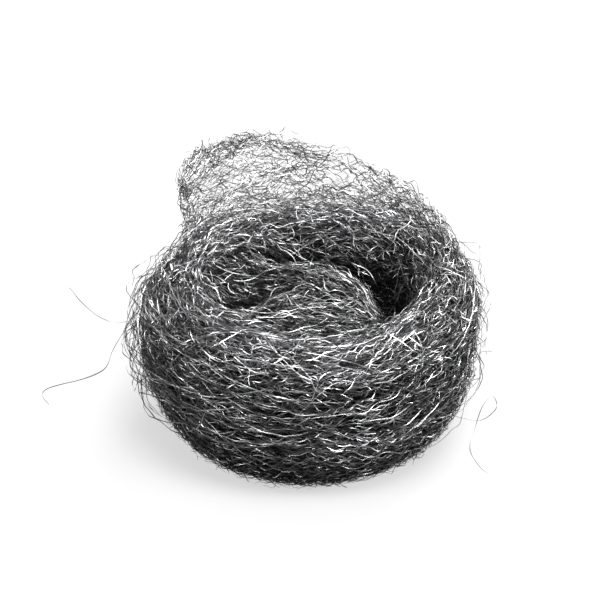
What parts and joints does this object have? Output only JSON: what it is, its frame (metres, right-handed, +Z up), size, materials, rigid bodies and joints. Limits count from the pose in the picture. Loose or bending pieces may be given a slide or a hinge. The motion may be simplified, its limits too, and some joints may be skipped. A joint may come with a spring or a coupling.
{
  "type": "steel wool bundle",
  "caption": "Small nest of rolled steel wool with a hollow top, a folded middle and a thin loose end standing up; used to scour and polish.",
  "frame": {"origin": "centre of the flat patch under the nest, on the surface it rests on", "axes": "+Z up; -Y towards the front, where the folded end runs out over the rim; +X to the right"},
  "size_m": [0.0948, 0.0678, 0.0555],
  "materials": {
    "steel_wool": "fine bare steel shavings, dark between the fibres with bright glints on them"
  },
  "bodies": {
    "root": {"steel_wool_bundle": "steel_wool", "loose_strand_left_upper": "steel_wool", "loose_strand_left_lower": "steel_wool", "loose_strand_right": "steel_wool"}
  },
  "joints": []
}
